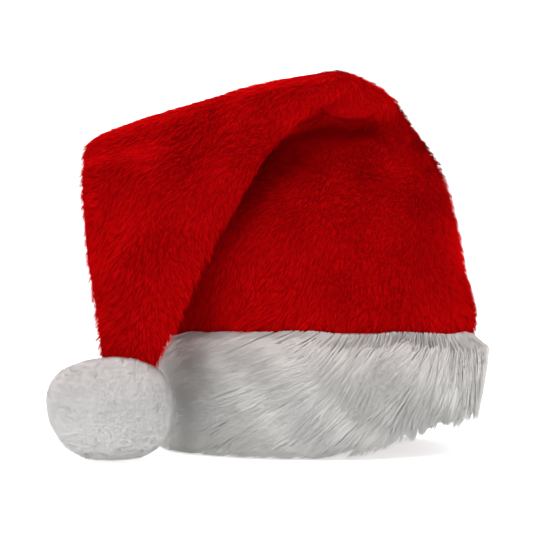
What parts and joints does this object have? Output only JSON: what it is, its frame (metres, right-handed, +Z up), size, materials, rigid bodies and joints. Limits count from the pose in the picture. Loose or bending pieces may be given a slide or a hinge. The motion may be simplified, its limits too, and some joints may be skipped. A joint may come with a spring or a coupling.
{
  "type": "santa hat",
  "caption": "Plush Santa hat standing on its fur cuff, tip folded over to the front left with its pompom on the floor.",
  "frame": {"origin": "on the floor, under the middle of the whole hat's bounding box", "axes": "+X to the right of the front view, +Y to the back, +Z up; the tip hangs at the front left, on the -X and -Y side"},
  "size_m": [0.2864, 0.226, 0.2498],
  "materials": {
    "red_plush": "matte short pile",
    "white_fur": "matte long pile",
    "white_fleece": "matte fleece"
  },
  "bodies": {
    "root": {"crown": "red_plush", "cuff": "white_fur", "pompom": "white_fleece"}
  },
  "joints": []
}
